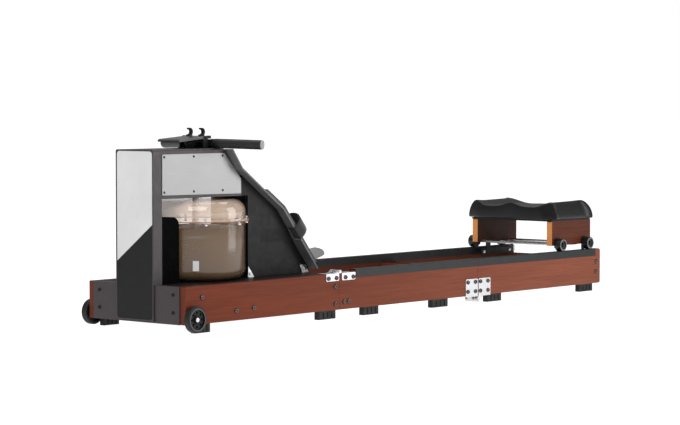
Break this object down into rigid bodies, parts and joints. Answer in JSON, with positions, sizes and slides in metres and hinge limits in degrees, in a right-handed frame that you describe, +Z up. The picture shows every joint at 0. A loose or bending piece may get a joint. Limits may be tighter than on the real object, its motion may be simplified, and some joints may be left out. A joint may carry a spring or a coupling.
{
  "type": "rowing machine",
  "caption": "Folding water rowing machine with a wooden rail, a clear tank and paddle, a pull handle, adjustable footrests and a rolling seat.",
  "frame": {"origin": "middle of the footprint on the floor", "axes": "+X from the water tank towards the rower's seat, +Y to the right of a seated rower, +Z up"},
  "size_m": [2.1122, 0.445, 0.59],
  "materials": {
    "wood": "satin stained",
    "brown_paint": "satin",
    "white_panel": "gloss",
    "dark_panel": "gloss",
    "brushed_steel": "brushed",
    "black_steel": "satin powder coat",
    "black_plastic": "moulded, satin",
    "grey_plastic": "moulded, fine texture",
    "heel_plastic": "moulded, satin",
    "tank_clear": "clear, amber tint",
    "water": "liquid, grey-brown through the tank",
    "seal_rubber": "matt",
    "bright_steel": "zinc bright",
    "light_metal": "satin",
    "webbing": "woven nylon",
    "foot_rubber": "matt",
    "track": "satin anodised",
    "cushion": "soft-touch foam skin",
    "roller_plastic": "satin",
    "grip_foam": "fine foam",
    "tyre": "matt"
  },
  "bodies": {
    "front_frame": {"front_boards": "wood", "front_cross_panel": "brown_paint", "deck_plate": "black_steel", "tower_casing": "brown_paint", "front_panel_white": "white_panel", "front_panel_dark": "dark_panel", "steel_side_plates": "brushed_steel", "plate_screws": "black_steel", "column_housing": "black_plastic", "tank_lower_shell": "tank_clear", "tank_upper_shell": "tank_clear", "tank_gasket": "seal_rubber", "tank_bolts": "bright_steel", "tank_water": "water", "footrest_sides": "black_plastic", "bent_foot_plate": "black_steel", "footplates": "grey_plastic", "foot_straps": "webbing", "footrest_brackets": "bright_steel", "front_bolts": "bright_steel", "front_feet": "foot_rubber", "wheel_axles": "bright_steel", "drum_bracket": "black_steel", "top_bracket": "black_steel", "front_hinge_leaves": "bright_steel"},
    "mid_frame": {"mid_boards": "wood", "mid_tracks": "track", "mid_feet": "foot_rubber", "mid_bolts": "bright_steel", "mid_hinge_leaves": "bright_steel"},
    "rear_frame": {"rear_boards": "wood", "rear_tracks": "track", "rear_feet": "foot_rubber", "rear_bolts": "bright_steel", "rear_hinge_leaves": "bright_steel", "rear_end_stops": "bright_steel"},
    "seat": {"seat_cushion": "cushion", "seat_side_boards": "wood", "seat_carriage": "black_steel", "seat_tie_plates": "bright_steel"},
    "seat_wheelset_front": {"seat_axle_front": "bright_steel", "seat_rollers_front": "roller_plastic"},
    "seat_wheelset_rear": {"seat_axle_rear": "bright_steel", "seat_rollers_rear": "roller_plastic"},
    "handle": {"handle_hub": "black_plastic", "handle_grips": "grip_foam", "handle_fittings": "light_metal", "pull_strap": "webbing"},
    "paddle": {"paddle_shaft": "bright_steel", "paddle_blades": "light_metal"},
    "strap_drum": {"strap_drum": "black_plastic"},
    "guide_roller": {"strap_guide_roller": "light_metal"},
    "transport_wheel_left": {"wheel_tyre_left": "tyre", "wheel_hub_left": "black_plastic"},
    "transport_wheel_right": {"wheel_tyre_right": "tyre", "wheel_hub_right": "black_plastic"},
    "device_stand": {"phone_tray": "grey_plastic", "phone_hooks": "black_plastic"},
    "heel_cup_left": {"heel_cup_left": "heel_plastic"},
    "heel_cup_right": {"heel_cup_right": "heel_plastic"}
  },
  "joints": [
    {"name": "mid_fold", "type": "hinge", "parent": "front_frame", "child": "mid_frame", "pos_m": [-0.36285, 0, 0.1435], "axis": [0, -1, 0], "range_deg": [0, 90]},
    {"name": "rear_fold", "type": "hinge", "parent": "mid_frame", "child": "rear_frame", "pos_m": [0.34215, 0, 0.012], "axis": [0, 1, 0], "range_deg": [0, 180]},
    {"name": "seat_slide", "type": "slide", "parent": "rear_frame", "child": "seat", "axis": [1, 0, 0], "range_m": [-1.05, 0]},
    {"name": "seat_roll_front", "type": "hinge", "parent": "seat", "child": "seat_wheelset_front", "pos_m": [0.83215, 0, 0.1687], "axis": [0, 1, 0], "continuous": true},
    {"name": "seat_roll_rear", "type": "hinge", "parent": "seat", "child": "seat_wheelset_rear", "pos_m": [0.99615, 0, 0.1687], "axis": [0, 1, 0], "continuous": true},
    {"name": "handle_pull", "type": "slide", "parent": "front_frame", "child": "handle", "axis": [-1, 0, 0], "range_m": [-1.15, 0], "stiffness_N_per_m": 18, "deforming": ["pull_strap"]},
    {"name": "drum_turn", "type": "hinge", "parent": "front_frame", "child": "strap_drum", "pos_m": [-0.79585, 0, 0.444], "axis": [0, 0, 1], "continuous": true},
    {"name": "guide_roller_turn", "type": "hinge", "parent": "front_frame", "child": "guide_roller", "pos_m": [-0.81185, 0, 0.5333], "axis": [0, 1, 0], "continuous": true},
    {"name": "paddle_spin", "type": "hinge", "parent": "front_frame", "child": "paddle", "pos_m": [-0.79585, 0, 0.35], "axis": [0, 0, 1], "continuous": true},
    {"name": "wheel_spin_left", "type": "hinge", "parent": "front_frame", "child": "transport_wheel_left", "pos_m": [-1.01785, -0.2125, 0.042], "axis": [0, 1, 0], "continuous": true},
    {"name": "wheel_spin_right", "type": "hinge", "parent": "front_frame", "child": "transport_wheel_right", "pos_m": [-1.01785, 0.2125, 0.042], "axis": [0, 1, 0], "continuous": true},
    {"name": "stand_tilt", "type": "hinge", "parent": "front_frame", "child": "device_stand", "pos_m": [-0.78485, 0, 0.562], "axis": [0, 1, 0], "range_deg": [0, 65]},
    {"name": "heel_slide_left", "type": "slide", "parent": "front_frame", "child": "heel_cup_left", "axis": [0.6378, 0, -0.7702], "range_m": [-0.028, 0]},
    {"name": "heel_slide_right", "type": "slide", "parent": "front_frame", "child": "heel_cup_right", "axis": [0.6378, 0, -0.7702], "range_m": [-0.028, 0]}
  ],
  "couplings": [
    {"joint": "rear_fold", "follows": "mid_fold", "ratio": 2},
    {"joint": "seat_roll_front", "follows": "seat_slide", "rad_per_m": 47.619},
    {"joint": "seat_roll_rear", "follows": "seat_slide", "rad_per_m": 47.619},
    {"joint": "drum_turn", "follows": "handle_pull", "rad_per_m": 22.727},
    {"joint": "guide_roller_turn", "follows": "handle_pull", "rad_per_m": -106.38}
  ]
}
